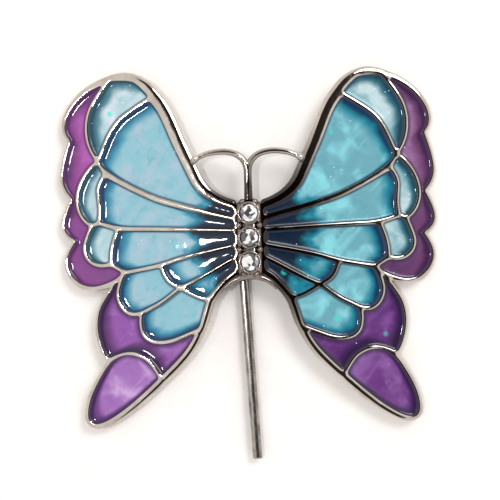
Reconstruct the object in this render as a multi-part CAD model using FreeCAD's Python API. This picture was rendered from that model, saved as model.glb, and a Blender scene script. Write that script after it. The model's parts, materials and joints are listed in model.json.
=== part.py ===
"""Butterfly hair grip: two cast wings with resin cells, a jewelled body and a sprung two-legged pin.

Millimetres. +Y points to the antennae, +X to the right as seen from the front, +Z out of the front.
The origin lies on the surface that the grip rests on, under the middle of the whole grip.
"""
import FreeCAD, Part
import math
import os

Vector = FreeCAD.Vector

# ---------------------------------------------------------------- driving dimensions
span_scale = 1.0          # stretches the wings sideways
height_scale = 1.0        # stretches the wings from tail to tip
droop = 6.0               # degrees that each wing falls away from the body

plate_height = 1.6        # thickness of the wing castings
floor_height = 0.45       # metal left under the resin
bevel_depth = 0.85        # how far below the top the rounded rim begins
bevel_break = 0.35        # depth of the change between its two slopes
bevel_low = 0.14          # how far in the rim is at that change
bevel_top = 0.45          # how far in the rim is at the top
resin_drop = 0.35         # resin below the top of the casting
resin_gap = 0.02          # side clearance of the resin in its cell

vein = 0.58               # width of the thin walls between the cells
main_vein = 0.86          # width of the wall below the big upper cell
body_wall = 0.4           # wall between the body and the cells
corner = 0.55             # how far back a cell's corner is rounded
rim_corner = 0.3          # the same for the notches of the outline
keep_corner = 35.0        # degrees; a junction that turns less is smooth
soft_turn = 12.0          # degrees; two walls that turn less than this share an averaged corner

tip_clearance = 0.31      # wing tips above the surface that the grip rests on

spine_side = 0.13         # body plate beside, before and behind the bezels
spine_head = 0.33
spine_tail = 0.63
spine_edge = 0.3          # rounding of its front edges
spine_rise = 0.25         # body plate above the middle of the wing castings

pin_width = 1.5
pin_thick = 0.75
pin_edge = 0.3            # rounding of the outer long edges
pin_tip = 0.35            # rounding of the blunt ends
pin_length = 39.6
pin_short = 0.9           # the rear leg is this much shorter
pin_skew = 2.9            # degrees that the pin stands off the body's axis
pin_head_x = -1.6         # top of the pin's bend
pin_head_y = 5.8
leg_gap = 0.35            # gap between the legs at rest
hinge_gap = 0.02          # clearance where the rear leg leaves the bend

pad_radius = 3.0
pad_height = 0.6
glue_height = 0.15
glue_spread = 0.2         # glue squeezed out round the body's boss

stone_middle = 0.35       # Y of the middle stone
stone_count = 3
bezel_spacing = 0.26
bezel_radius = 1.72
bezel_wall = 0.3
bezel_height = 1.3
bezel_base = 0.3
stone_clearance = 0.03
stone_sides = 8
culet_radius = 0.12
culet_gap = 0.05          # between the stone's point and the cup's base
girdle_height = 0.15
girdle_below_lip = 0.1    # top of the girdle below the bezel's lip
crown_height = 0.42
table_share = 0.58        # table radius as a share of the girdle's

stem_low = 0.62           # half width of the antennae's stem at the body
stem_high = 0.45          # and at the fork
stem_length = 5.6
antenna_wire = 0.42       # radius of the two arms
antenna_ball = 0.56
antenna_top_x = 3.9
antenna_top_rise = 1.8    # top of an arm above the fork
antenna_end_x = 8.06
antenna_end_rise = 0.7    # its ball above the fork
antenna_clearance = 0.06  # between a ball and the wing under it

# ---------------------------------------------------------------- body, seen from the front
stone_pitch = 2 * bezel_radius + bezel_spacing
stone_reach = stone_pitch * (stone_count - 1) / 2 + bezel_radius
spine_half = bezel_radius + spine_side
spine_top = stone_middle + stone_reach + spine_head
spine_foot = stone_middle - stone_reach - spine_tail

# ---------------------------------------------------------------- wing network (one wing)
# X and Y here, and in all that follows up to the nodes, start in the middle of the body.
# Junctions are where veins meet each other, the rim or the body.
junctions = {
    "root0": (spine_half, spine_top),
    "root1": (spine_half, 3.2),
    "root2": (spine_half, 1.5),
    "root3": (spine_half, -0.7),
    "root4": (spine_half, -2.5),
    "root5": (spine_half, spine_foot),
    "lead5": (13.0, 22.9),
    "top3": (19.9, 26.2),
    "notch1": (27.4, 15.9),
    "notch2": (27.3, 6.9),
    "notch3": (27.1, 0.4),
    "notch4": (21.3, -6.7),
    "notch5": (22.3, -18.1),
    "inner2": (5.3, -9.1),
    "inner4": (6.5, -12.9),
    "inner7": (13.4, -21.7),
    "crescent_foot": (22.75, 12.6),
    "fork": (21.7, 10.7),
    "row_end": (22.9, 3.2),
    "row_rim": (24.0, 2.8),
    "row": (19.9, 2.2),
    "low_rim": (21.1, -3.2),
    "low": (19.0, -4.5),
    "hind": (13.4, -3.5),
    "hind_in": (10.5, -7.0),
    "hind_out": (16.6, -10.8),
}
# Bends only steer the curve between two junctions.
bends = {
    "neck1": (5.7, 7.3),
    "lead1": (8.2, 13.0),
    "lead2": (9.5, 16.0),
    "lead3": (10.7, 19.1),
    "lead4": (11.8, 21.3),
    "top1": (14.7, 24.9),
    "top2": (17.4, 26.2),
    "cap1": (25.0, 24.1),
    "cap2": (28.0, 20.4),
    "lobe1": (28.5, 17.2),
    "lobe2": (28.8, 12.0),
    "lobe3": (28.7, 8.4),
    "lobe4": (28.9, 4.0),
    "lobe5": (28.5, 1.2),
    "lobe6": (28.6, -1.6),
    "lobe7": (28.1, -5.2),
    "base1": (25.0, -7.7),
    "inner1": (3.1, -6.4),
    "inner3": (5.9, -10.8),
    "inner5": (8.55, -16.9),
    "inner6": (11.4, -19.9),
    "inner8": (15.3, -23.5),
    "inner9": (19.6, -26.9),
    "tail1": (23.4, -28.8),
    "tail2": (26.0, -27.6),
    "tail3": (25.7, -24.2),
    "tail4": (24.3, -21.2),
    "side1": (23.4, -16.1),
    "side2": (24.0, -13.0),
    "side3": (23.6, -10.0),
    "side4": (22.3, -7.9),
    "purple1": (22.9, 22.3),
    "purple2": (24.1, 20.1),
    "purple3": (24.5, 17.6),
    "purple4": (24.1, 14.8),
    "arch1": (16.9, 20.6),
    "arch2": (19.4, 18.9),
    "arch3": (20.9, 16.9),
    "arch4": (21.9, 14.6),
    "leaf1": (24.1, 11.6),
    "leaf2": (25.5, 9.6),
    "leaf3": (26.2, 7.3),
    "leaf4": (26.0, 5.2),
    "leaf5": (25.1, 3.6),
    "leaf6": (22.6, 5.0),
    "leaf7": (22.8, 7.0),
    "leaf8": (22.9, 8.8),
    "main1": (15.65, 7.25),
    "main2": (11.1, 5.6),
    "row1": (15.3, 2.1),
    "row2": (8.4, 1.8),
    "drop1": (24.9, 0.7),
    "drop2": (25.3, -0.9),
    "drop3": (24.7, -2.5),
    "drop4": (23.0, -3.5),
    "drop5": (21.1, -1.6),
    "drop6": (20.7, 0.2),
    "low1": (16.0, -4.0),
    "hind1": (9.2, -2.1),
    "hind2": (12.9, -5.2),
    "hind3": (12.0, -6.3),
    "hind4": (8.6, -6.2),
    "hind5": (6.4, -5.0),
    "hind6": (4.0, -3.6),
    "hind7": (8.0, -8.5),
    "hind8": (11.6, -7.8),
    "hind9": (13.4, -9.2),
    "hind10": (15.3, -10.1),
    "drop7": (19.9, -6.3),
    "drop8": (20.3, -8.2),
    "drop9": (19.6, -10.0),
    "drop10": (18.2, -11.0),
    "pear1": (16.8, -12.4),
    "pear2": (16.4, -14.3),
    "pear3": (14.9, -15.3),
    "pear4": (12.5, -15.3),
    "pear5": (9.6, -14.2),
    "tip1": (19.1, -16.6),
    "tip2": (16.1, -17.5),
    "tip3": (14.6, -19.4),
}
points = {**junctions, **bends}

outline = (
    ["root0", "neck1", "lead1", "lead2", "lead3", "lead4", "lead5", "top1", "top2", "top3", "cap1", "cap2"]
    + ["lobe1", "notch1", "lobe2", "lobe3", "notch2", "lobe4", "lobe5", "notch3", "lobe6", "lobe7"]
    + ["base1", "notch4", "side4", "side3", "side2", "side1", "notch5", "tail4", "tail3", "tail2", "tail1"]
    + ["inner9", "inner8", "inner7", "inner6", "inner5", "inner4", "inner3", "inner2", "inner1", "root5"]
)

# Width of the metal rim along each stretch of the outline.
rims = {
    "root": 1.2,
    "neck": 1.7,
    "lead": 2.05,
    "top": 1.35,
    "cap": 0.8,
    "lobe": 0.56,
    "notch": 0.56,
    "base": 0.95,
    "side": 0.6,
    "tail": 0.75,
    "inner": 1.25,
}

# The walls round each cell, as the loop of points that it runs through.
cells = {
    "top_crescent": ["lead5", "top1", "top2", "top3", "purple1", "purple2", "purple3", "purple4",
                     "crescent_foot", "arch4", "arch3", "arch2", "arch1"],
    "margin": ["top3", "cap1", "cap2", "lobe1", "notch1", "lobe2", "lobe3", "notch2", "lobe4", "lobe5",
               "notch3", "lobe6", "lobe7", "base1", "notch4", "low", "low_rim", "drop4", "drop3", "drop2",
               "drop1", "row_rim", "leaf5", "leaf4", "leaf3", "leaf2", "leaf1", "crescent_foot", "purple4",
               "purple3", "purple2", "purple1"],
    "upper": ["root0", "neck1", "lead1", "lead2", "lead3", "lead4", "lead5", "arch1", "arch2", "arch3",
              "arch4", "crescent_foot", "fork", "main1", "main2", "root1"],
    "mid_crescent": ["crescent_foot", "leaf1", "leaf2", "leaf3", "leaf4", "leaf5", "row_rim", "row_end",
                     "leaf6", "leaf7", "leaf8", "fork"],
    "second": ["fork", "leaf8", "leaf7", "leaf6", "row_end", "row", "row1", "row2", "root2", "root1",
               "main2", "main1"],
    "low_crescent": ["row_end", "row_rim", "drop1", "drop2", "drop3", "drop4", "low_rim", "drop5", "drop6",
                     "row"],
    "third": ["row", "drop6", "drop5", "low_rim", "low", "low1", "hind", "hind1", "root3", "root2", "row2",
              "row1"],
    "hind_near": ["hind", "hind2", "hind3", "hind_in", "hind4", "hind5", "hind6", "root4", "root3", "hind1"],
    "hind_foot": ["hind_in", "hind7", "inner2", "inner1", "root5", "root4", "hind6", "hind5", "hind4"],
    "hind_far": ["hind", "low1", "low", "drop7", "drop8", "drop9", "drop10", "hind_out", "hind10", "hind9",
                 "hind8", "hind_in", "hind3", "hind2"],
    "hind_pear": ["hind_in", "hind8", "hind9", "hind10", "hind_out", "pear1", "pear2", "pear3", "pear4",
                  "pear5", "inner4", "inner3", "inner2", "hind7"],
    "hind_margin": ["notch4", "side4", "side3", "side2", "side1", "notch5", "tip1", "tip2", "tip3", "inner7",
                    "inner6", "inner5", "inner4", "pear5", "pear4", "pear3", "pear2", "pear1", "hind_out",
                    "drop10", "drop9", "drop8", "drop7", "low"],
    "tail": ["notch5", "tail4", "tail3", "tail2", "tail1", "inner9", "inner8", "inner7", "tip3", "tip2",
             "tip1"],
}
main_walls = {"fork", "main1", "main2", "root1"}

# ---------------------------------------------------------------- levels
wing_reach = spine_half + (max(x for x, y in points.values()) - spine_half) * span_scale
front_leg_back = pin_thick + leg_gap
front_leg_face = front_leg_back + pin_thick
glue_back = front_leg_face + pad_height
boss_back = glue_back + glue_height
plate_back = tip_clearance + wing_reach * math.tan(math.radians(droop))
spine_face = plate_back + plate_height + spine_rise
resin_height = plate_height - floor_height - resin_drop
bevel_start = plate_height - bevel_depth
bevel_middle = plate_height - bevel_break


# ---------------------------------------------------------------- plane geometry
def place(name):
    """A network point in the plane of its wing, so that it looks right from the front after the droop."""
    x, y = points[name]
    if not name.startswith("root"):
        x = spine_half + (x - spine_half) * span_scale
        y = y * height_scale
    return Vector(x / math.cos(math.radians(droop)), y, 0)


def group(name):
    return name.rstrip("0123456789")


def follows(first, second, loop):
    """True when the two names stand side by side in the closed loop."""
    if first not in loop or second not in loop:
        return False
    step = abs(loop.index(first) - loop.index(second))
    return step in (1, len(loop) - 1)


def wall(first, second):
    """How far a cell stays inside the network between two points: a whole rim, or half of a vein."""
    if group(first) == "root" and group(second) == "root":
        return body_wall
    if follows(first, second, outline):
        return (rims[group(first)] + rims[group(second)]) / 2
    if first in main_walls and second in main_walls:
        return main_vein / 2
    return vein / 2


def turn(before, here, after):
    """Signed angle in degrees by which the path turns at a point."""
    first = here - before
    second = after - here
    return math.degrees(math.atan2(first.x * second.y - first.y * second.x, first.dot(second)))


def inset(path, distances):
    """Moves each side of a clockwise polygon inwards by its own distance."""
    moved = []
    count = len(path)
    for index in range(count):
        before = (path[index] - path[index - 1]).normalize()
        after = (path[(index + 1) % count] - path[index]).normalize()
        in_before = Vector(before.y, -before.x, 0)
        in_after = Vector(after.y, -after.x, 0)
        near = distances[index - 1]
        far = distances[index]
        cross = before.x * after.y - before.y * after.x
        if abs(cross) < math.sin(math.radians(soft_turn)):
            middle = (in_before + in_after).normalize()
            moved.append(path[index] + middle * ((near + far) / 2))
        else:
            start = path[index] + in_before * near
            offset = path[index] + in_after * far - start
            length = (offset.x * after.y - offset.y * after.x) / cross
            moved.append(start + before * length)
    return moved


def rounded(path, sharp, radius):
    """A smooth closed wire through a polygon's sides. Sharp points keep a corner of the given size."""
    count = len(path)
    edges = []
    stops = []
    for index in range(count):
        side = (path[(index + 1) % count] - path[index]).Length
        starts_sharp = sharp[index]
        ends_sharp = sharp[(index + 1) % count]
        if starts_sharp and not ends_sharp:
            leave = min(radius, side / 3)
            arrive = leave
        elif ends_sharp and not starts_sharp:
            leave = side - min(radius, side / 3)
            arrive = leave
        elif starts_sharp and ends_sharp:
            leave = min(radius, side / 3)
            arrive = side - leave
        else:
            leave = side / 2
            arrive = leave
        direction = (path[(index + 1) % count] - path[index]).normalize()
        stops.append((path[index] + direction * leave, path[index] + direction * arrive))
    for index in range(count):
        curve = Part.BezierCurve()
        curve.setPoles([stops[index - 1][1], path[index], stops[index][0]])
        edges.append(curve.toShape())
        if (stops[index][1] - stops[index][0]).Length > 1e-6:
            edges.append(Part.makeLine(stops[index][0], stops[index][1]))
    return Part.Wire(edges)


def clockwise(names):
    path = [place(name) for name in names]
    area = sum(path[i - 1].x * path[i].y - path[i].x * path[i - 1].y for i in range(len(path)))
    return names if area < 0 else names[::-1]


def corners(names):
    path = [place(name) for name in names]
    count = len(path)
    result = []
    for index, name in enumerate(names):
        angle = abs(turn(path[index - 1], path[index], path[(index + 1) % count]))
        result.append(name in junctions and angle > keep_corner)
    return result


def cell_wire(names, clearance):
    loop = clockwise(names)
    distances = [wall(loop[i], loop[(i + 1) % len(loop)]) + clearance for i in range(len(loop))]
    path = inset([place(name) for name in loop], distances)
    return rounded(path, corners(loop), corner)


def rim_wire(distance, level):
    loop = clockwise(outline)
    sharp = corners(loop)
    path = inset([place(name) for name in loop], [distance] * len(loop))
    wire = rounded(path, sharp, rim_corner)
    wire.translate(Vector(0, 0, level))
    return wire


# ---------------------------------------------------------------- wings
def droop_wing(shape):
    """Lays a flat right wing on its slope, falling away from the body."""
    shape = shape.copy()
    shape.rotate(Vector(0, 0, 0), Vector(0, 1, 0), droop)
    shape.translate(Vector(0, 0, plate_back))
    return shape


def wing_plate():
    """The casting before its cells: an upright edge and two slopes that round the rim."""
    foot = Part.Face(rim_wire(0, 0)).extrude(Vector(0, 0, bevel_start))
    low = Part.makeLoft([rim_wire(0, bevel_start), rim_wire(bevel_low, bevel_middle)], True, True)
    high = Part.makeLoft([rim_wire(bevel_low, bevel_middle), rim_wire(bevel_top, plate_height)], True, True)
    return foot.fuse([low, high]).removeSplitter()


def wing_frame():
    pockets = []
    for names in cells.values():
        pocket = Part.Face(cell_wire(names, 0)).extrude(Vector(0, 0, plate_height))
        pocket.translate(Vector(0, 0, floor_height))
        pockets.append(pocket)
    return droop_wing(wing_plate().cut(pockets))


def resin_fill(names):
    fill = Part.Face(cell_wire(names, resin_gap)).extrude(Vector(0, 0, resin_height))
    fill.translate(Vector(0, 0, floor_height))
    return droop_wing(fill)


def keep_outside_body(shape):
    """Cuts a wing off flat where it meets the side of the body plate."""
    reach = 20 * spine_half
    cutter = Part.makeBox(reach, 2 * reach, 2 * reach, Vector(spine_half - reach, -reach, -reach))
    return shape.cut(cutter)


def mirrored(shape):
    return shape.mirror(Vector(0, 0, 0), Vector(1, 0, 0))


# ---------------------------------------------------------------- body
def body_spine():
    """The plate between the wings, with the boss that is glued to the pin's pad."""
    length = spine_top - spine_foot
    corner_point = Vector(-spine_half, spine_foot, plate_back)
    plate = Part.makeBox(2 * spine_half, length, spine_face - plate_back, corner_point)
    front = [edge for edge in plate.Edges if abs(edge.CenterOfMass.z - spine_face) < 1e-6]
    plate = plate.makeFillet(spine_edge, front)
    boss = Part.makeCylinder(spine_half, plate_back - boss_back, Vector(0, 0, boss_back))
    return plate.fuse(boss).removeSplitter()


def stone_centres():
    first = stone_middle + stone_pitch * (stone_count - 1) / 2
    return [Vector(0, first - index * stone_pitch, spine_face) for index in range(stone_count)]


def bezel(centre):
    cup = Part.makeCylinder(bezel_radius, bezel_height, centre)
    well = Part.makeCylinder(bezel_radius - bezel_wall, bezel_height, centre + Vector(0, 0, bezel_base))
    return cup.cut(well)


def facet_ring(centre, radius, level):
    ring = []
    for index in range(stone_sides + 1):
        angle = 2 * math.pi * (index + 0.5) / stone_sides
        ring.append(centre + Vector(radius * math.cos(angle), radius * math.sin(angle), level))
    return Part.makePolygon(ring)


def stone(centre):
    """A single-cut stone: point, girdle and table, with flat facets between."""
    girdle = bezel_radius - bezel_wall - stone_clearance
    girdle_top = bezel_height - girdle_below_lip
    rings = [
        facet_ring(centre, culet_radius, bezel_base + culet_gap),
        facet_ring(centre, girdle, girdle_top - girdle_height),
        facet_ring(centre, girdle, girdle_top),
        facet_ring(centre, girdle * table_share, girdle_top + crown_height),
    ]
    return Part.makeLoft(rings, True, True)


# ---------------------------------------------------------------- antennae
def antenna_level():
    """Height of the antennae's centre line, which lets their balls clear the sloping wings."""
    ball_side = antenna_end_x - antenna_ball
    wing_face = plate_back + plate_height - ball_side * math.sin(math.radians(droop))
    return wing_face + antenna_clearance + antenna_ball


def antennae():
    level = antenna_level()
    fork_y = spine_top + stem_length
    foot = Vector(0, spine_top, level)
    fork = Vector(0, fork_y, level)
    shape = Part.makeCone(stem_low, stem_high, stem_length, foot, Vector(0, 1, 0))
    shape = shape.fuse(Part.makeSphere(stem_high, fork))
    for side in (1, -1):
        top = Vector(side * antenna_top_x, fork_y + antenna_top_rise, level)
        end = Vector(side * antenna_end_x, fork_y + antenna_end_rise, level)
        arc = Part.Arc(fork, top, end)
        start = arc.tangent(arc.FirstParameter)[0]
        section = Part.Wire(Part.makeCircle(antenna_wire, fork, start))
        arm = Part.Wire(arc.toShape()).makePipeShell([section], True, False)
        shape = shape.fuse([arm, Part.makeSphere(antenna_ball, end)])
    return shape.removeSplitter()


# ---------------------------------------------------------------- pin
def strip_section(inner, outer):
    """Section of the pin's strip across its length, with its two outer edges rounded."""
    half = pin_width / 2
    sign = 1 if outer > inner else -1
    edge = pin_edge
    middle = edge * (1 - math.sqrt(0.5))
    outer_low = outer - sign * edge
    corner_right = Part.Arc(Vector(half, 0, outer_low), Vector(half - middle, 0, outer - sign * middle),
                            Vector(half - edge, 0, outer))
    corner_left = Part.Arc(Vector(edge - half, 0, outer), Vector(middle - half, 0, outer - sign * middle),
                           Vector(-half, 0, outer_low))
    sides = [
        Part.makeLine(Vector(-half, 0, inner), Vector(half, 0, inner)),
        Part.makeLine(Vector(half, 0, inner), Vector(half, 0, outer_low)),
        corner_right.toShape(),
        Part.makeLine(Vector(half - edge, 0, outer), Vector(edge - half, 0, outer)),
        corner_left.toShape(),
        Part.makeLine(Vector(-half, 0, outer_low), Vector(-half, 0, inner)),
    ]
    return Part.Face(Part.Wire(sides))


def round_tip(leg, tip_y):
    """Rounds the two upright edges at a leg's blunt end."""
    chosen = []
    for edge in leg.Edges:
        centre = edge.CenterOfMass
        upright = abs(edge.tangentAt(edge.FirstParameter).z) > 0.99
        if upright and abs(centre.y - tip_y) < 1e-6:
            chosen.append(edge)
    return leg.makeFillet(pin_tip, chosen)


def bend_radius():
    return leg_gap / 2 + pin_thick


def place_pin(shape):
    """Moves a shape from the pin's own frame, with the bend at the origin, to its place on the butterfly."""
    shape = shape.copy()
    shape.rotate(Vector(0, 0, 0), Vector(0, 0, 1), pin_skew)
    shape.translate(Vector(pin_head_x, pin_head_y, 0))
    return shape


def pin_front():
    """Front leg and the bend that carries the rear leg."""
    straight = pin_length - bend_radius()
    leg = strip_section(front_leg_back, front_leg_face).extrude(Vector(0, -straight, 0))
    leg = round_tip(leg, -straight)
    centre = Vector(0, 0, bend_radius())
    bend = strip_section(front_leg_back, front_leg_face).revolve(centre, Vector(1, 0, 0), -180)
    shape = leg.fuse(bend).removeSplitter()
    shape.translate(Vector(0, -bend_radius(), 0))
    return place_pin(shape)


def pin_rear():
    straight = pin_length - bend_radius() - pin_short
    leg = strip_section(pin_thick, 0).extrude(Vector(0, -straight + hinge_gap, 0))
    leg.translate(Vector(0, -hinge_gap, 0))
    leg = round_tip(leg, -straight)
    leg.translate(Vector(0, -bend_radius(), 0))
    return place_pin(leg)


def pin_pad():
    return Part.makeCylinder(pad_radius, pad_height, Vector(0, 0, front_leg_face))


def pad_glue():
    return Part.makeCylinder(spine_half + glue_spread, glue_height, Vector(0, 0, glue_back))


# ---------------------------------------------------------------- nodes
def build():
    nodes = {}
    right_wing = keep_outside_body(wing_frame())
    nodes["wing_frame_right"] = right_wing
    nodes["wing_frame_left"] = mirrored(right_wing)
    for name, loop in cells.items():
        fill = resin_fill(loop)
        nodes["resin_right_" + name] = fill
        nodes["resin_left_" + name] = mirrored(fill)
    nodes["body_spine"] = body_spine()
    for index, centre in enumerate(stone_centres(), start=1):
        nodes["bezel_%d" % index] = bezel(centre)
        nodes["stone_%d" % index] = stone(centre)
    nodes["antennae"] = antennae()
    nodes["pin_pad"] = pin_pad()
    nodes["pad_glue"] = pad_glue()
    nodes["pin_front_leg"] = pin_front()
    nodes["pin_rear_leg"] = pin_rear()
    return nodes


def centre_on_origin(nodes):
    """Moves the whole grip along the surface until its box is centred on the origin."""
    box = Part.makeCompound(list(nodes.values())).optimalBoundingBox()
    move = Vector(-(box.XMin + box.XMax) / 2, -(box.YMin + box.YMax) / 2, 0)
    print("moved by %.4f %.4f" % (move.x, move.y))
    return {name: shape.translated(move) for name, shape in nodes.items()}


os.makedirs("parts", exist_ok=True)
for node_name, node_shape in centre_on_origin(build()).items():
    box = node_shape.optimalBoundingBox()
    print("%-28s solids %d valid %s volume %8.3f  x %.2f %.2f y %.2f %.2f z %.2f %.2f" % (
        node_name, len(node_shape.Solids), node_shape.isValid(), node_shape.Volume,
        box.XMin, box.XMax, box.YMin, box.YMax, box.ZMin, box.ZMax))
    node_shape.exportStep("parts/" + node_name + ".step")
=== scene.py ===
import json
import math

import bmesh
import bpy
import numpy as np
from mathutils import Matrix, Vector, geometry, kdtree, noise

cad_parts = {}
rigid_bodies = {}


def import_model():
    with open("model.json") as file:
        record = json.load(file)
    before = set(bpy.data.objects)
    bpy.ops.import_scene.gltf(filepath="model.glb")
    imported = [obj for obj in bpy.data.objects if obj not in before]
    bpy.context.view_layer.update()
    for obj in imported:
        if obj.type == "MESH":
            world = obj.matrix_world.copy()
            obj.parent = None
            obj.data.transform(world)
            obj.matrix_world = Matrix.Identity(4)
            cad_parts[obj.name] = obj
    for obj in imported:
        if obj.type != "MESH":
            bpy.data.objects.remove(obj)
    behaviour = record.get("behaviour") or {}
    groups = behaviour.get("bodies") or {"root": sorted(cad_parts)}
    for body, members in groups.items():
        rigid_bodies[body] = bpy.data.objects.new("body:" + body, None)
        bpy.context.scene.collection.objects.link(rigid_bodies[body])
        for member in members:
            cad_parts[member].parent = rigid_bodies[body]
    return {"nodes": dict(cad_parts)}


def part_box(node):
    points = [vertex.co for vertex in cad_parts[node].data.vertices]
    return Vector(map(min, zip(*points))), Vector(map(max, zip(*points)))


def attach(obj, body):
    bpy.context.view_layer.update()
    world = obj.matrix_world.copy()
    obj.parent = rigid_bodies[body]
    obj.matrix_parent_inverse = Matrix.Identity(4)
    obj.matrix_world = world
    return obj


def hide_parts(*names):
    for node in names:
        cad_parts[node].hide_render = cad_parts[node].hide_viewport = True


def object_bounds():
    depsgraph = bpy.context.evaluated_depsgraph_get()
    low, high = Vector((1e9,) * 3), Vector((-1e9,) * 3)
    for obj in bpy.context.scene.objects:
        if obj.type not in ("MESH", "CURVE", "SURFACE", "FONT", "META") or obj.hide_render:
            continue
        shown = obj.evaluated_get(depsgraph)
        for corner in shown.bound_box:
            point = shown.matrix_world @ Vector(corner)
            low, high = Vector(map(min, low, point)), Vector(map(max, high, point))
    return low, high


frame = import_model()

# A butterfly hair grip: plated castings, tinted resin, clear stones and a sprung steel pin.
# Objects are in metres. Wings, resin, body, antennae and pin are worked out in millimetres and scaled when
# they become pieces. Stones and bezels are worked out in metres. Wings and resin are worked out flat and
# then laid on their slope.

MM = 0.001
BODY = "butterfly"
SIDES = ("left", "right")

# ---------------------------------------------------------------- places taken from the frame
CAD_NODES = set(frame["nodes"].values())
for leftover in list(bpy.data.objects):
    if leftover.type in {"MESH", "LIGHT", "CAMERA"} and leftover not in CAD_NODES:
        bpy.data.objects.remove(leftover)
CAD_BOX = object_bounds()
SPINE_LOW, SPINE_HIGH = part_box("body_spine")
BODY_CENTRE = (SPINE_LOW + SPINE_HIGH) / 2
SPINE_HALF = SPINE_HIGH.x / MM

# ---------------------------------------------------------------- sizes; lengths are in millimetres
# Flat outlines and the points between them
LEVEL_SLACK = 0.004       # corners this near to a level count as on it
SHORT_SHARE = 0.45        # points closer together than this share of a step are dropped
CROWD_SHARE = 0.88        # a point stands at least this share of its row's offset from every line
LOOKUP_CELL = 0.5         # side of the squares in which neighbours are looked up
ROW_SHARE = 0.866         # gap between rows of a triangular grid, as a share of its spacing

# Castings
VEIN_ROUND = 0.19         # how far in the top edge of a wall is rounded
VEIN_DROP = 0.19          # and how far down
RIM_SHARE = 0.56          # share of the rim's width that slopes outwards
RIM_DROP = 0.46           # how far a wide rim slopes down at its outer edge
RIM_WIDE = 1.5            # a rim this wide has the whole drop
BACK_ROUND = 0.12         # rounding of the lower outer edge
METAL_STEP = 0.2          # spacing of the points along an edge
METAL_RINGS = (0.035, 0.085, 0.15, 0.23, 0.35, 0.5, 0.7, 0.95, 1.25)   # rows of points beside an edge
METAL_SPACING = (0.03, 0.32, 0.5)   # least spacing, its growth away from an edge, and how far out it grows
SPINE_OVERLAP = 0.04      # how far a wing's inner end runs into the side of the body plate

# Resin
RESIN_STEP = 0.24         # spacing of the points along an edge
RESIN_RINGS = (0.05, 0.12, 0.2, 0.3, 0.45, 0.65, 0.9, 1.2)             # rows of points beside an edge
RESIN_SPACING = (0.04, 0.3, 0.9)    # as for the metal
RESIN_GRID = 0.42         # spacing of the points in the middle of a cell
RESIN_CLIMB = 0.17        # how far the resin climbs a wall
RESIN_CLIMB_REACH = 0.2   # and how far out that is felt
RESIN_SINK = 0.07         # middle of the pool below the level of the plain fill
RESIN_RIPPLE = 0.018      # height of the unevenness of its surface
RESIN_RIPPLE_SIZE = 2.6   # and its length
POOL_LIFT = 0.02          # underside of the resin above the casting's floor
BAND_CELL = 3.0           # in cells less than twice as wide as this the dark band is narrower

# Stones, as shares of the radius and of the depth
TABLE_RADIUS = 0.56
STAR_RADIUS = 0.8
STAR_DROP = 0.15          # below the table
GIRDLE_HEIGHT = 0.66      # middle of the girdle above the point
GIRDLE_HALF = 0.05
BACK_RADIUS = 0.42
BACK_HEIGHT = 0.2

# Bezels, body, antennae and pin
CUP_FLOOR = 0.25          # thickness of a cup's floor
CUP_CHAMFER = 0.06        # round its foot
CUP_ROOM = 1.1            # radius of its hollow, as a share of the stone's
CLAW = 0.24               # radius of a claw before it is drawn out
CLAW_STRETCH = (0.75, 0.8, 1.5)
CLAW_LEAN = -35           # degrees, over the stone
CLAW_SEAT = 0.15          # how far out and up its middle stands, as a share of its radius
BAR_CORNER = 0.9          # radius of the bar's upright corners
BAR_EDGE = 0.6            # and of its front edge
BAR_THICK = 1.55          # from the bar's back to the top of the wings
BAR_GRAIN = 0.12          # size of the cells that melt the body's parts together
WIRE_GRAIN = 0.09         # the same for the antennae
LEG_GRAIN = 0.09          # and for the pin's legs
LEG_CROWN = 0.13          # how far the middle of the front leg's face stands up
LEG_FACE = 0.12           # depth below the face in which points are still lifted
LEG_END = 0.6             # length at either end that gives the leg's direction

# ---------------------------------------------------------------- room and camera
# Half widths of the dark patch overhead, as sines of the angle from straight up.
PATCH_X = 0.25
PATCH_Y = 0.6
PATCH_SHIFT = 0.07        # its middle stands this far over to the right
PATCH_INNER = 0.85        # share of the half width inside which it is wholly dark
PATCH_OUTER = 1.2         # and outside which it is gone
ROOM_COLOUR = (1.0, 0.965, 0.94, 1)
PATCH_COLOUR = (0.034, 0.027, 0.024, 1)
ROOM_STRENGTH = 0.85
GROUND_HALF = 0.6         # metres
GROUND_LEVEL = -0.00003   # metres; just clear of the part's flat back

VIEW_WIDTH = 76.3         # millimetres across the picture at the level of the wings
VIEW_DISTANCE = 200       # millimetres above them
VIEW_LEAN = -1.5          # degrees
VIEW_OFFSET = (0.04, -1.73)   # millimetres from the middle of the body


# ---------------------------------------------------------------- node materials
def srgb(code):
    """A colour written as six hex digits, in the linear values that a shader takes."""
    values = [int(code[i:i + 2], 16) / 255 for i in (0, 2, 4)]
    linear = [v / 12.92 if v <= 0.04045 else ((v + 0.055) / 1.055) ** 2.4 for v in values]
    return (*linear, 1.0)


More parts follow.
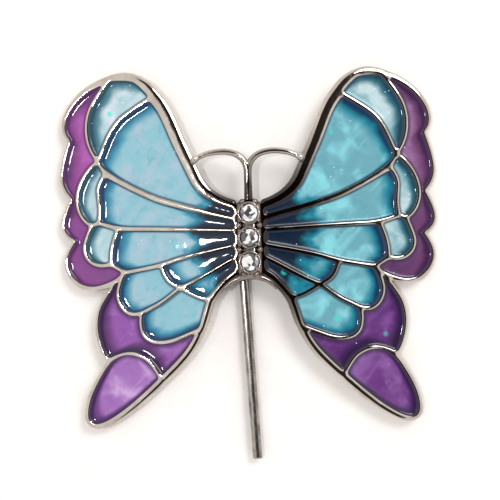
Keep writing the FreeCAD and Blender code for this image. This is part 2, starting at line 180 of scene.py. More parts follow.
class Nodes:
    """Short calls for building a material's node tree."""

    def __init__(self, name):
        self.material = bpy.data.materials.new(name)
        self.material.use_nodes = True
        self.tree = self.material.node_tree
        self.shader = self.tree.nodes["Principled BSDF"]

    def add(self, kind, links=None, **settings):
        node = self.tree.nodes.new(kind)
        for key, value in settings.items():
            setattr(node, key, value)
        for socket, value in (links or {}).items():
            self.feed(node.inputs[socket], value)
        return node

    def feed(self, socket, value):
        if isinstance(value, bpy.types.NodeSocket):
            self.tree.links.new(value, socket)
        else:
            socket.default_value = value

    def set(self, **values):
        for key, value in values.items():
            self.feed(self.shader.inputs[key.replace("_", " ")], value)

    def uniform(self, values):
        """Values that are the same all over the surface, set on the shader's own sockets."""
        for socket, value in values.items():
            self.shader.inputs[socket].default_value = value

    def place(self, scale=1.0, stretch=(1, 1, 1), turn=0.0):
        """Object coordinates in millimetres, turned by some degrees and times a scale."""
        coordinates = self.add("ShaderNodeTexCoord").outputs["Object"]
        level = self.add("ShaderNodeMapping", {"Vector": coordinates, "Rotation": (0, 0, math.radians(turn))})
        factor = [scale / MM * s for s in stretch]
        links = {"Vector": level.outputs["Vector"], "Scale": factor}
        return self.add("ShaderNodeMapping", links).outputs["Vector"]

    def noise(self, size, detail=2.0, rough=0.5, stretch=(1, 1, 1), distortion=0.0, turn=0.0):
        """Noise whose features are about as large as size, in millimetres."""
        links = {"Vector": self.place(1 / size, stretch, turn), "Scale": 1.0, "Detail": detail,
                 "Roughness": rough, "Distortion": distortion}
        return self.add("ShaderNodeTexNoise", links).outputs["Fac"]

    def span(self, value, low, high, to_low=0.0, to_high=1.0, smooth=True):
        """A value moved from one range to another and held there."""
        links = {"Value": value, "From Min": low, "From Max": high, "To Min": to_low, "To Max": to_high}
        kind = "SMOOTHSTEP" if smooth else "LINEAR"
        return self.add("ShaderNodeMapRange", links, interpolation_type=kind, clamp=True).outputs["Result"]

    def maths(self, operation, first, second=0.0):
        return self.add("ShaderNodeMath", {0: first, 1: second}, operation=operation).outputs[0]

    def mix(self, factor, first, second):
        node = self.add("ShaderNodeMix", data_type="RGBA", blend_type="MIX")
        self.feed(node.inputs[0], factor)
        self.feed(node.inputs[6], first)
        self.feed(node.inputs[7], second)
        return node.outputs[2]

    def flakes(self, size, share, core, edge):
        """Soft round spots in a share of cells of the given size."""
        cells = self.add("ShaderNodeTexVoronoi", {"Vector": self.place(1 / size), "Scale": 1.0}, feature="F1")
        draw = self.add("ShaderNodeSeparateColor", {"Color": cells.outputs["Color"]}).outputs["Red"]
        chosen = self.maths("GREATER_THAN", draw, 1.0 - share)
        return self.maths("MULTIPLY", chosen, self.span(cells.outputs["Distance"], core, edge, 1.0, 0.0))

    def attribute(self, name):
        return self.add("ShaderNodeAttribute", attribute_name=name).outputs["Fac"]

    def bump(self, height, strength, distance, normal=None):
        links = {"Height": height, "Strength": strength, "Distance": distance * MM}
        if normal is not None:
            links["Normal"] = normal
        return self.add("ShaderNodeBump", links).outputs["Normal"]


def plated(name, tint, shade, roughness, wave, painted_dark_reach=0.0):
    """Bright plating over a casting that isn't quite even, with a painted dark reflection round the body
    within a reach in mm.
    """
    m = Nodes(name)
    bloom = m.noise(3.2, 3.0, 0.6)
    lines = m.noise(0.5, 4.0, 0.7, stretch=(1, 0.25, 1))
    colour = m.mix(m.span(bloom, 0.35, 0.7), srgb(tint), srgb(shade))
    if painted_dark_reach:
        # Painted dark reflection: near the body the colour goes to dark brown, standing in for the dark
        # surroundings that the plating mirrors there.
        place = m.add("ShaderNodeTexCoord").outputs["Object"]
        offset = m.add("ShaderNodeVectorMath", {0: place, 1: BODY_CENTRE}, operation="SUBTRACT").outputs[0]
        flat = m.add("ShaderNodeVectorMath", {0: offset, 1: (1, 1, 0)}, operation="MULTIPLY").outputs[0]
        away = m.add("ShaderNodeVectorMath", {0: flat}, operation="LENGTH").outputs["Value"]
        away = m.maths("ADD", m.maths("DIVIDE", away, MM), m.span(bloom, 0.3, 0.7, -1.2, 1.2, False))
        colour = m.mix(m.span(away, painted_dark_reach * 0.4, painted_dark_reach, 0.93, 0.0), colour, srgb("38302C"))
    dull = m.maths("ADD", m.span(bloom, 0.4, 0.75, roughness, roughness * 1.9),
                   m.span(lines, 0.45, 0.8, 0.0, roughness * 0.6))
    broad = m.bump(m.noise(2.4, 1.0), 1.0, wave)
    fine = m.bump(lines, 0.15, 0.01, broad)
    m.set(Base_Color=colour, Metallic=1.0, Roughness=dull, Normal=fine)
    return m.material


def resin(name, tint, milk, band, wall_shade, root, root_shade_reach, glitter, edge=0.42, low_tint=None, mottle=0.3):
    """Tinted resin over bright metal, with painted shade: dark towards the far wall, along the walls and by
    the body.

    From the middle of a cell outwards its colours are tint with patches of milk, then band, then the darkest
    colour; this darkening towards the far wall is painted shade. Root is a painted shade, its colour within
    about the given reach in mm of the body. Low_tint is its colour towards the foot of a tall cell. Glitter
    is the share of flecks, edge is the width in mm of the painted dark shade line along the walls, and mottle
    is how strongly blotches of band show.
    """
    m = Nodes(name)
    wall = m.attribute("wall")
    outer = m.attribute("outer")
    body = m.attribute("body")
    clouds = m.noise(3.6, 2.0, 0.45, distortion=0.4)
    drift = m.noise(1.2, 3.0, 0.55, distortion=0.8)
    pale = m.mix(m.span(clouds, 0.42, 0.72), srgb(tint), srgb(milk))
    pale = m.mix(m.span(drift, 0.8 - mottle, 1.15 - mottle, 0.0, mottle), pale, srgb(band))
    streaks = m.noise(1.7, 2.0, 0.5, stretch=(0.22, 1, 1), distortion=0.3, turn=-50)
    pale = m.mix(m.span(streaks, 0.52, 0.74, 0.0, 0.6), pale, srgb(milk))
    if low_tint:
        height = m.add("ShaderNodeSeparateXYZ", {0: m.place()}).outputs["Y"]
        pale = m.mix(m.span(height, 4.0, 18.0, 0.85, 0.0), pale, srgb(low_tint))
    # Painted shade: the colour darkens through band to the darkest colour towards the far wall, away from the
    # body, and in a dark line along every wall.
    shift = m.maths("ADD", outer, m.span(clouds, 0.3, 0.7, -0.4, 0.4, False))
    colour = m.mix(m.span(shift, 1.1, 2.7), srgb(band), pale)
    colour = m.mix(m.span(shift, 0.3, 1.5), srgb(wall_shade), colour)
    colour = m.mix(m.span(wall, 0.04, edge, 0.8, 0.0), colour, srgb(wall_shade))
    # Painted shade by the body: within the root reach the colour goes through band to the root colour.
    spread = m.maths("ADD", m.span(clouds, 0.3, 0.7, -1.3, 1.3, False),
                     m.span(drift, 0.3, 0.7, -0.3, 0.3, False))
    near = m.maths("ADD", m.maths("ADD", body, m.maths("MULTIPLY", wall, 1.6)), spread)
    near = m.span(near, root_shade_reach * 0.85, root_shade_reach * 1.6, 1.0, 0.0)
    colour = m.mix(m.span(near, 0.0, 0.45), colour, srgb(band))
    colour = m.mix(m.span(near, 0.35, 0.95), colour, srgb(root))
    flecks = m.flakes(0.55, glitter, 0.09, 0.2)
    colour = m.mix(flecks, colour, srgb("E4F8FC"))
    # Painted glints: a few bright turquoise spots away from the walls, standing in for glints of light seen
    # through the resin.
    painted_glints = m.maths("MULTIPLY", m.flakes(2.6, 0.11, 0.05, 0.28), m.span(wall, 0.3, 0.6))
    colour = m.mix(m.maths("MULTIPLY", painted_glints, 0.8), colour, srgb("22E2D0"))
    surface = m.bump(m.noise(1.9, 1.0), 0.4, 0.02)
    m.set(Base_Color=colour, Roughness=m.span(drift, 0.3, 0.7, 0.35, 0.5), Normal=surface,
          Coat_Normal=surface)
    m.uniform({"Specular IOR Level": 0.15, "Coat Weight": 1.0, "Coat Roughness": 0.03, "Coat IOR": 1.38})
    return m.material


def clear_stone():
    """A clear stone over bright foil, with painted sparkle: broken patches of white, grey and dark stand in
    for its facets' glints and reflections.
    """
    m = Nodes("foiled_stone_painted_sparkle")
    links = {"Vector": m.place(1 / 0.62), "Scale": 1.0, "Randomness": 1.0}
    # Painted sparkle: patches of white, grey and dark in the colour stand in for facets catching light.
    cells = m.add("ShaderNodeTexVoronoi", links, feature="F1")
    draw = m.add("ShaderNodeSeparateColor", {"Color": cells.outputs["Color"]}).outputs["Green"]
    colour = m.mix(m.span(draw, 0.34, 0.5), srgb("585458"), srgb("A6A8B0"))
    colour = m.mix(m.span(draw, 0.5, 0.56), colour, srgb("FFFFFF"))
    m.set(Base_Color=colour, Roughness=m.span(draw, 0.0, 1.0, 0.1, 0.2))
    m.uniform({"Metallic": 0.3, "Coat Weight": 1.0, "Coat Roughness": 0.02, "Coat IOR": 1.6})
    return m.material


def set_glue():
    m = Nodes("set_glue")
    cloud = m.noise(0.9, 3.0)
    m.set(Base_Color=m.mix(m.span(cloud, 0.3, 0.7), srgb("C9BF9C"), srgb("E2DCC6")), Roughness=0.35,
          Normal=m.bump(cloud, 0.4, 0.05))
    return m.material


def paper():
    """The plain pale ground, with the faintest of grain."""
    m = Nodes("pale_ground")
    grain = m.noise(6.0, 3.0)
    m.set(Base_Color=m.mix(m.span(grain, 0.3, 0.7), srgb("FBF6F4"), srgb("FFFDFB")), Roughness=0.9)
    m.uniform({"Specular IOR Level": 0.1})
    return m.material


# ---------------------------------------------------------------- flat wings
def wing_slope(side):
    """The move that lays a flat wing, with its back at height 0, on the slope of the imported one."""
    mesh = frame["nodes"]["wing_frame_" + side].data
    up = Vector()
    back = None
    for face in mesh.polygons:
        if face.normal.z < -0.98:
            up -= face.normal * face.area
            back = mesh.vertices[face.vertices[0]].co
    up.normalize()
    level = back.dot(up) / up.z
    return Matrix.Translation((0, 0, level)) @ Matrix.Rotation(math.atan2(up.x, up.z), 4, "Y")


def flat_points(node, slope):
    """A node's vertices in its wing's own flat millimetres."""
    to_flat = slope.inverted()
    return [(to_flat @ v.co) / MM for v in frame["nodes"][node].data.vertices]


def loops_at(node, slope, level):
    """Closed edges of the flat faces of a node at one height, longest first."""
    mesh = frame["nodes"][node].data
    points = flat_points(node, slope)
    key = {}
    same = [key.setdefault((round(p.x, 3), round(p.y, 3), round(p.z, 3)), i) for i, p in enumerate(points)]
    sides = {}
    for face in mesh.polygons:
        if all(abs(points[v].z - level) < LEVEL_SLACK for v in face.vertices):
            ring = [same[v] for v in face.vertices]
            for first, second in zip(ring, ring[1:] + ring[:1]):
                if (second, first) in sides:
                    del sides[(second, first)]
                elif first != second:
                    sides[(first, second)] = True
    after = {}
    for first, second in sides:
        after[first] = second
    loops = []
    while after:
        start, here = after.popitem()
        ring = [start]
        while here != start:
            ring.append(here)
            here = after.pop(here)
        loops.append([points[i].xy for i in ring])
    return sorted(loops, key=lambda ring: -length_of(ring))


def length_of(ring):
    return sum((b - a).length for a, b in zip(ring, ring[1:] + ring[:1]))


def area_of(ring):
    return sum(a.x * b.y - b.x * a.y for a, b in zip(ring, ring[1:] + ring[:1])) / 2


def even(ring, step):
    """The same closed line with points about one step apart."""
    kept = [ring[0]]
    for point in ring[1:]:
        if (point - kept[-1]).length > step * SHORT_SHARE:
            kept.append(point)
    if (kept[0] - kept[-1]).length < step * SHORT_SHARE:
        kept.pop()
    result = []
    for first, second in zip(kept, kept[1:] + kept[:1]):
        count = max(1, round((second - first).length / step))
        result += [first.lerp(second, i / count) for i in range(count)]
    return result


def anticlockwise(ring):
    return ring if area_of(ring) > 0 else ring[::-1]


def tree_of(points):
    tree = kdtree.KDTree(len(points))
    for index, point in enumerate(points):
        tree.insert((point.x, point.y, 0), index)
    tree.balance()
    return tree


def distance(tree, point):
    return tree.find((point.x, point.y, 0))[2]


def ring_points(ring, distances, tree, inwards):
    """Points in rows beside a closed line, without those that lie nearer to another line."""
    rows = []
    count = len(ring)
    for offset in distances:
        for index, point in enumerate(ring):
            along = ring[(index + 1) % count] - ring[index - 1]
            if along.length < 1e-6:
                continue
            side = Vector((-along.y, along.x)).normalized()
            moved = point + side * (offset if inwards else -offset)
            if distance(tree, moved) > offset * CROWD_SHARE:
                rows.append(moved)
    return rows


def thin_out(points, fixed, tree, spacing):
    """Drops points that stand too close to an edge or to each other. Spacing grows away from the edges."""
    least, growth, reach = spacing
    buckets = {}
    kept = []
    for index, point in enumerate(fixed + points):
        home = (int(point.x // LOOKUP_CELL), int(point.y // LOOKUP_CELL))
        gap = least + growth * min(distance(tree, point), reach)
        if index >= len(fixed):
            cells = [(home[0] + dx, home[1] + dy) for dx in (-1, 0, 1) for dy in (-1, 0, 1)]
            if any((q - point).length < gap for around in cells for q in buckets.get(around, ())):
                continue
            kept.append(point)
        buckets.setdefault(home, []).append(point)
    return kept


def inside(rings, places):
    """Which places lie inside an odd number of closed lines."""
    starts = np.array([(p.x, p.y) for ring in rings for p in ring])
    ends = np.array([(p.x, p.y) for ring in rings for p in ring[1:] + ring[:1]])
    rise = np.where(starts[:, 1] == ends[:, 1], 1.0, ends[:, 1] - starts[:, 1])
    result = []
    for x, y in places:
        spans = (starts[:, 1] > y) != (ends[:, 1] > y)
        crossing = starts[:, 0] + (y - starts[:, 1]) / rise * (ends[:, 0] - starts[:, 0])
        result.append(np.count_nonzero(spans & (crossing > x)) % 2 == 1)
    return result


def triangulate(rings, inner):
    """Triangles between closed lines, using inner points: returns points and faces."""
    points = []
    edges = []
    for ring in rings:
        start = len(points)
        points += ring
        edges += [(start + i, start + (i + 1) % len(ring)) for i in range(len(ring))]
    points += inner
    made = geometry.delaunay_2d_cdt(points, edges, [], 1, 1e-5)
    flat = [Vector(p) for p in made[0]]
    faces = [tuple(face) for face in made[2]]
    middles = [sum((flat[i] for i in face), Vector((0, 0))) / len(face) for face in faces]
    kept = inside(rings, middles)
    return flat, [face for face, keep in zip(faces, kept) if keep]


def pool_line(side, cell, slope):
    """The closed line round a cell's resin, and the level of its flat top."""
    node = "resin_%s_%s" % (side, cell)
    level = max(p.z for p in flat_points(node, slope))
    return anticlockwise(loops_at(node, slope, level)[0]), level


def rounded(share):
    """Quarter-round profile: 0 at an edge, 1 from share 1 on."""
    share = min(max(share, 0.0), 1.0)
    return math.sqrt(1 - (1 - share) ** 2)


def place_piece(name, mesh, material, body=BODY):
    """An object for a finished mesh, riding on its body."""
    mesh.materials.append(material)
    piece = bpy.data.objects.new(name, mesh)
    bpy.context.scene.collection.objects.link(piece)
    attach(piece, body)
    return piece


def new_piece(name, vertices, faces, material, smooth_angle=40, body=BODY):
    """A smooth-shaded piece from points and faces. A gap of three or four edges is filled."""
    mesh = bpy.data.meshes.new(name)
    mesh.from_pydata(vertices, [], faces)
    mesh.validate()
    work = bmesh.new()
    work.from_mesh(mesh)
    bmesh.ops.remove_doubles(work, verts=work.verts, dist=1e-7)
    missing = [edge for edge in work.edges if edge.is_boundary]
    bmesh.ops.holes_fill(work, edges=missing, sides=4)
    bmesh.ops.recalc_face_normals(work, faces=work.faces)
    work.to_mesh(mesh)
    work.free()
    mesh.shade_smooth()
    mesh.set_sharp_from_angle(angle=math.radians(smooth_angle))
    return place_piece(name, mesh, material, body)


# ---------------------------------------------------------------- wing castings
def wing_piece(side, material):
    """One wing's casting: crowned rim, round-topped veins, cell walls, and a floor under each cell."""
    node = "wing_frame_" + side
    slope = wing_slope(side)
    height = max(p.z for p in flat_points(node, slope))
    floor = min(p.z for p in flat_points("resin_%s_upper" % side, slope))
    outline = even(anticlockwise(loops_at(node, slope, 0.0)[0]), METAL_STEP)
    cells = [even(pool_line(side, cell, slope)[0], METAL_STEP) for cell in CELLS]
    cut = min(abs(p.x) for p in outline) + 0.01

    def at_cut(point):
        return abs(point.x) < cut

    rim_line = [p for p in even(outline, METAL_STEP / 5) if not at_cut(p)]
    cell_line = [p for ring in cells for p in even(ring, METAL_STEP / 5)]
    rim_tree = tree_of(rim_line)
    cell_tree = tree_of(cell_line)
    both_tree = tree_of(rim_line + cell_line)

    def top(point):
        to_rim = distance(rim_tree, point)
        to_cell = distance(cell_tree, point)
        width = to_rim + to_cell
        outwards = rounded(to_rim / (RIM_SHARE * width))
        inwards = rounded(to_cell / min(VEIN_ROUND, (1 - RIM_SHARE) * width * 1.3))
        drop = RIM_DROP * min(1.0, width / RIM_WIDE)
        return height - drop * (1 - outwards) - VEIN_DROP * (1 - inwards)

    inner = ring_points(outline, METAL_RINGS, both_tree, True)
    for ring in cells:
        inner += ring_points(ring, METAL_RINGS, both_tree, False)
    edge_points = outline + [p for ring in cells for p in ring]
    inner = thin_out(inner, edge_points, both_tree, METAL_SPACING)
    flat, faces = triangulate([outline] + cells, inner)
    vertices = [Vector((p.x, p.y, top(p))) for p in flat]

    def wall(ring, levels):
        """Upright faces from a line's edge downwards; returns the lowest row."""
        row = [Vector((p.x, p.y, top(p))) for p in ring]
        for inset, level in levels:
            below = []
            for index, point in enumerate(ring):
                along = (ring[(index + 1) % len(ring)] - ring[index - 1]).normalized()
                below.append(Vector((point.x - along.y * inset, point.y + along.x * inset, level)))
            start = len(vertices)
            vertices.extend(row + below)
            count = len(ring)
            for i in range(count):
                j = (i + 1) % count
                faces.append((start + i, start + j, start + count + j, start + count + i))
            row = below
        return row

    def cap(row):
        start = len(vertices)
        vertices.extend(row)
        for triangle in geometry.tessellate_polygon([row]):
            faces.append(tuple(start + i for i in triangle))

    turned = BACK_ROUND * (1 - math.sqrt(0.5))
    cap(wall(outline, [(0, BACK_ROUND), (turned, turned), (BACK_ROUND, 0)]))
    for ring in cells:
        cap(wall(ring, [(0, floor)]))

    placed = []
    for point in vertices:
        here = slope @ (point * MM)
        if at_cut(point):
            here.x = math.copysign((SPINE_HALF - SPINE_OVERLAP) * MM, here.x)
        placed.append(here)
    piece = new_piece("casting_" + side, placed, faces, material)
    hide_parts(node)


# ---------------------------------------------------------------- resin
def outward_gap(points, ring, centre):
    """Distance from each point to the cell's far wall, straight away from the body."""
    starts = np.array([(p.x, p.y) for p in ring])
    sides = np.roll(starts, -1, axis=0) - starts
    gaps = []
    for point in points:
        origin = np.array((point.x, point.y))
        heading = origin - centre
        heading /= np.linalg.norm(heading)
        cross = heading[0] * sides[:, 1] - heading[1] * sides[:, 0]
        cross = np.where(np.abs(cross) < 1e-9, 1e-9, cross)
        to_start = starts - origin
        along = (to_start[:, 0] * sides[:, 1] - to_start[:, 1] * sides[:, 0]) / cross
        share = (to_start[:, 0] * heading[1] - to_start[:, 1] * heading[0]) / cross
        hit = along[(share >= 0) & (share <= 1) & (along > -1e-4)]
        gaps.append(float(hit.min()) if len(hit) else 0.0)
    return gaps


def resin_piece(side, cell, material):
    """One cell's resin: it climbs its walls, sinks a little in the middle, and is closed underneath.

    For the material, each point carries its distances from the nearest wall, from the wall away from the
    body, and from the body.
    """
    node = "resin_%s_%s" % (side, cell)
    slope = wing_slope(side)
    line, level = pool_line(side, cell, slope)
    ring = even(line, RESIN_STEP)
    fine = even(ring, RESIN_STEP / 6)
    tree = tree_of(fine)
    inner = ring_points(ring, RESIN_RINGS, tree, True)
    low_x, high_x = min(p.x for p in ring), max(p.x for p in ring)
    low_y, high_y = min(p.y for p in ring), max(p.y for p in ring)
    row_gap = RESIN_GRID * ROW_SHARE
    rows = int((high_y - low_y) / row_gap) + 1
    columns = int((high_x - low_x) / RESIN_GRID) + 1
    for row in range(rows):
        for column in range(columns):
            inner.append(Vector((low_x + (column + row % 2 / 2) * RESIN_GRID, low_y + row * row_gap)))
    inner = thin_out(inner, ring, tree, RESIN_SPACING)
    flat, faces = triangulate([ring], inner)
    walls = [distance(tree, p) for p in flat]
    centre = np.array((0.0, BODY_CENTRE.y / MM))
    outer = outward_gap(flat, fine, centre)
    narrow = max(1.0, BAND_CELL / max(walls))
    outer = [gap * narrow for gap in outer]

    vertices = []
    for point, gap in zip(flat, walls):
        ripple = noise.noise(Vector((point.x, point.y, len(cell))) / RESIN_RIPPLE_SIZE) * RESIN_RIPPLE
        climb = RESIN_CLIMB * math.exp(-gap / RESIN_CLIMB_REACH)
        height = level - RESIN_SINK + climb + ripple * min(1, gap / 0.5)
        vertices.append(Vector((point.x, point.y, height)))
    start = len(vertices)
    count = len(ring)
    skirt_top = [min(range(len(flat)), key=lambda i: (flat[i] - p).length_squared) for p in ring]
    bottom = min(p.z for p in flat_points(node, slope)) + POOL_LIFT
    skirt = [Vector((p.x, p.y, bottom)) for p in ring]
    vertices += skirt
    for i in range(count):
        j = (i + 1) % count
        faces.append((skirt_top[i], skirt_top[j], start + j, start + i))
    for triangle in geometry.tessellate_polygon([skirt]):
        faces.append(tuple(start + i for i in triangle))
    walls += [0.0] * count
    outer += [0.0] * count
    body = [(Vector((p.x, p.y)) - Vector(centre)).length for p in vertices]

    placed = [slope @ (p * MM) for p in vertices]
    piece = new_piece(node + "_pool", placed, faces, material, 60)
    if len(piece.data.vertices) != len(placed):
        raise RuntimeError("points of %s were merged" % node)
    for name, values in (("wall", walls), ("outer", outer), ("body", body)):
        layer = piece.data.attributes.new(name, "FLOAT", "POINT")
        layer.data.foreach_set("value", values)
    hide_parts(node)


# ---------------------------------------------------------------- stones and bezels
def polar(radius, angle, level):
    return Vector((radius * math.cos(angle), radius * math.sin(angle), level))


def brilliant(index, material):
    """A round stone with table, star, kite and girdle facets, seated in its cup."""
    node = "stone_%d" % index
    low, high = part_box(node)
    centre = (low + high) / 2
    radius = (high.x - low.x) / 2
    depth = high.z - low.z
    eighth = math.pi / 4
    girdle = low.z + depth * GIRDLE_HEIGHT
    corners = [polar(radius * TABLE_RADIUS, eighth * (i + 0.5), high.z) for i in range(8)]
    corners += [polar(radius * STAR_RADIUS, eighth * i, high.z - depth * STAR_DROP) for i in range(8)]
    corners += [polar(radius, eighth * i / 2, girdle + depth * GIRDLE_HALF) for i in range(16)]
    corners += [polar(radius, eighth * i / 2, girdle - depth * GIRDLE_HALF) for i in range(16)]
    back = low.z + depth * BACK_HEIGHT
    corners += [polar(radius * BACK_RADIUS, eighth * (i + 0.5), back) for i in range(8)]
    corners += [polar(0, 0, low.z)]
    work = bmesh.new()
    for corner in corners:
        work.verts.new(corner + Vector((centre.x, centre.y, 0)))
    hull = bmesh.ops.convex_hull(work, input=work.verts)
    loose = [v for v in hull["geom_interior"] if isinstance(v, bmesh.types.BMVert)]
    bmesh.ops.delete(work, geom=loose, context="VERTS")
    bmesh.ops.dissolve_limit(work, angle_limit=math.radians(2), verts=work.verts, edges=work.edges)
    mesh = bpy.data.meshes.new("brilliant_%d" % index)
    work.to_mesh(mesh)
    work.free()
    piece = place_piece(mesh.name, mesh, material)
    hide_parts(node)


def lathe(profile, centre, turns=48):
    """A profile of radius and height, from axis to axis, turned round an upright axis."""
    vertices = []
    for turn in range(turns):
        angle = 2 * math.pi * turn / turns
        vertices += [polar(r, angle, z) + Vector((centre.x, centre.y, 0)) for r, z in profile]
    faces = []
    count = len(profile)
    for turn in range(turns):
        a, b = turn * count, (turn + 1) % turns * count
        for i in range(count - 1):
            faces.append((a + i, b + i, b + i + 1, a + i + 1))
    return vertices, faces


def bezel_piece(index, material):
    """A cup with a rolled lip and four claws that are bent over the stone."""
    node = "bezel_%d" % index
    low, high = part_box(node)
    centre = (low + high) / 2
    outside = (high.x - low.x) / 2
    stone_low, stone_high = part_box("stone_%d" % index)
    hollow = (stone_high.x - stone_low.x) / 2 * CUP_ROOM
    base = low.z + CUP_FLOOR * MM
    lip = (outside - hollow) / 2
    chamfer = CUP_CHAMFER * MM
    profile = [(0, low.z), (outside - chamfer, low.z), (outside, low.z + chamfer)]
    for step in range(9):
        angle = math.pi * step / 8
        profile.append((outside - lip + lip * math.cos(angle), high.z - lip + lip * math.sin(angle)))
    profile += [(hollow, base), (0, base)]
    vertices, faces = lathe(profile, centre)
    claw = CLAW * MM
    for corner in range(4):
        angle = math.pi / 4 + corner * math.pi / 2
        seat = polar(hollow + claw * CLAW_SEAT, angle, high.z + claw * CLAW_SEAT)
        seat += Vector((centre.x, centre.y, 0))
        work = bmesh.new()
        bmesh.ops.create_uvsphere(work, u_segments=16, v_segments=10, radius=claw)
        lean = Matrix.Rotation(angle, 4, "Z") @ Matrix.Rotation(math.radians(CLAW_LEAN), 4, "Y")
        shape = Matrix.Translation(seat) @ lean @ Matrix.Diagonal((*CLAW_STRETCH, 1))
        bmesh.ops.transform(work, matrix=shape, verts=work.verts)
        start = len(vertices)
        work.verts.index_update()
        vertices += [v.co.copy() for v in work.verts]
        faces += sorted(tuple(start + v.index for v in face.verts) for face in work.faces)
        work.free()
    piece = new_piece("claw_cup_%d" % index, vertices, faces, material, 50)
    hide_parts(node)


# ---------------------------------------------------------------- body and antennae
def smooth_path(points, count):
    """Evenly counted points on a smooth curve through the given ones."""
    ends = [points[0] * 2 - points[1]] + points + [points[-1] * 2 - points[-2]]
    path = []
    for i in range(1, len(ends) - 2):
        p0, p1, p2, p3 = ends[i - 1:i + 3]
        for step in range(count):
            t = step / count
            path.append((p1 * 2 + (p2 - p0) * t + (p0 * 2 - p1 * 5 + p2 * 4 - p3) * t * t
                         + (p1 * 3 - p0 - p2 * 3 + p3) * t * t * t) / 2)
    path.append(points[-1].copy())
    return path


def skin(work, rings):
    """Faces between rings of equal counts, and one across each end."""
    count = len(rings[0])
    for first, second in zip(rings, rings[1:]):
        for i in range(count):
            j = (i + 1) % count
            work.faces.new((first[i], first[j], second[j], second[i]))
    work.faces.new(rings[0][::-1])
    work.faces.new(rings[-1])


def tube(work, points, radii, count=10, turns=20):
    """A round bar along a smooth curve; its radius goes evenly through the given values."""
    path = smooth_path(points, count)
    rings = []
    for index, point in enumerate(path):
        along = (path[min(index + 1, len(path) - 1)] - path[max(index - 1, 0)]).normalized()
        side = along.cross(Vector((0, 0, 1))).normalized()
        up = side.cross(along)
        share = index / count
        low = min(int(share), len(radii) - 2)
        radius = radii[low] + (radii[low + 1] - radii[low]) * (share - low)
        ring = []
        for turn in range(turns):
            angle = 2 * math.pi * turn / turns
            offset = side * math.cos(angle) * radius + up * math.sin(angle) * radius
            ring.append(work.verts.new(point + offset))
        rings.append(ring)
    skin(work, rings)


def ball(work, centre, radius, flatten=1.0):
    shape = Matrix.Translation(centre) @ Matrix.Diagonal((1, 1, flatten, 1))
    bmesh.ops.create_uvsphere(work, u_segments=20, v_segments=12, radius=radius, matrix=shape)


def pillow(work, low, high, corner, edge):
    """A block with rounded upright corners and a rounded front edge."""
    rows = [(0.0, low.z)]
    for step in range(7):
        angle = math.pi / 2 * step / 6
        rows.append((edge * (1 - math.cos(angle)), high.z - edge + edge * math.sin(angle)))
    rings = []
    for shrink, level in rows:
        ring = []
        for quarter in range(4):
            sign_x = 1 if quarter in (0, 3) else -1
            sign_y = 1 if quarter in (0, 1) else -1
            centre_x = (high.x if sign_x > 0 else low.x) - sign_x * corner
            centre_y = (high.y if sign_y > 0 else low.y) - sign_y * corner
            for step in range(7):
                angle = math.pi / 2 * (quarter + step / 6)
                reach = corner - shrink
                ring.append(work.verts.new((centre_x + reach * math.cos(angle),
                                            centre_y + reach * math.sin(angle), level)))
        rings.append(ring)
    skin(work, rings)


def melted(name, work, grain, material, node, lift=None, body=BODY):
    """One smooth piece from parts in millimetres that run into each other.

    Lift gives how far each point is raised afterwards.
    """
    mesh = bpy.data.meshes.new(name + "_parts")
    bmesh.ops.recalc_face_normals(work, faces=work.faces)
    work.to_mesh(mesh)
    work.free()
    parts = bpy.data.objects.new(name + "_parts", mesh)
    bpy.context.scene.collection.objects.link(parts)
    remesh = parts.modifiers.new("one_casting", "REMESH")
    remesh.mode = "VOXEL"
    remesh.voxel_size = grain
    soften = parts.modifiers.new("soften", "SMOOTH")
    soften.iterations = 6
    ready = parts.evaluated_get(bpy.context.evaluated_depsgraph_get()).to_mesh()
    vertices = [v.co * MM for v in ready.vertices]
    if lift:
        vertices = [Vector((v.x, v.y, v.z + lift(v / MM) * MM)) for v in vertices]
    faces = [tuple(face.vertices) for face in ready.polygons]
    bpy.data.objects.remove(parts)
    piece = new_piece(name, vertices, faces, material, 80, body)
    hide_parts(node)


def antennae_piece(material):
    """A forked bar: its two strands part at the fork and end in balls."""
    low, high = [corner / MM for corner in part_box("antennae")]
    level = (low.z + high.z) / 2
    radius = (high.z - low.z) / 2
    tip_x = high.x - radius
    foot = low.y
    work = bmesh.new()
    for side in (-1, 1):
        shape = [(0.1, -0.1), (0.12, 2.6), (0.16, 4.9), (0.8, 6.25), (2.1, 7.1), (3.9, 7.4), (6.2, 7.1),
                 (tip_x, 6.3)]
        path = [Vector((side * x, foot + y, level)) for x, y in shape]
        tube(work, path, (0.56, 0.48, 0.52, 0.54, 0.5, 0.5, 0.46, 0.4))
        ball(work, Vector((side * tip_x, foot + 6.3, level)), radius)
    ball(work, Vector((0, foot + 0.75, level)), 0.62, 0.9)
    melted("forked_antennae", work, WIRE_GRAIN, material, "antennae")


